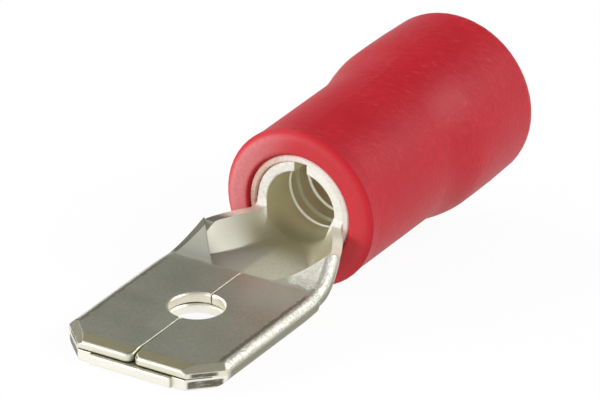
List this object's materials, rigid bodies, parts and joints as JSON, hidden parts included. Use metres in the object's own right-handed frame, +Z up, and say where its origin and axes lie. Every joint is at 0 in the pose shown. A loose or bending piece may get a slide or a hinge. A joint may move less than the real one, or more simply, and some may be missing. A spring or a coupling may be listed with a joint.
{
  "type": "male spade terminal",
  "caption": "Insulated male spade terminal: a folded sheet tab with a hole, a rolled crimp barrel in a thin sleeve, and a soft red sheath for the cable.",
  "frame": {"origin": "on the underside of the tab, on its centre line, level with the front edge of the folded leaves", "axes": "+X runs back from the tip of the tab along the barrel to the cable end, +Y across the tab, +Z up from the underside to the side where the leaves meet"},
  "size_m": [0.0217, 0.0064, 0.0063],
  "materials": {
    "tinned_brass": "brass sheet with a satin tin plating, bright on its cut and coined edges",
    "tinned_copper": "tin-plated copper tube with a bright, faintly pink cut end",
    "red_vinyl": "soft red vinyl, matte with a low sheen and fine scuffs"
  },
  "bodies": {
    "root": {"tab_terminal": "tinned_brass", "crimp_sleeve": "tinned_copper", "insulation": "red_vinyl"}
  },
  "joints": []
}
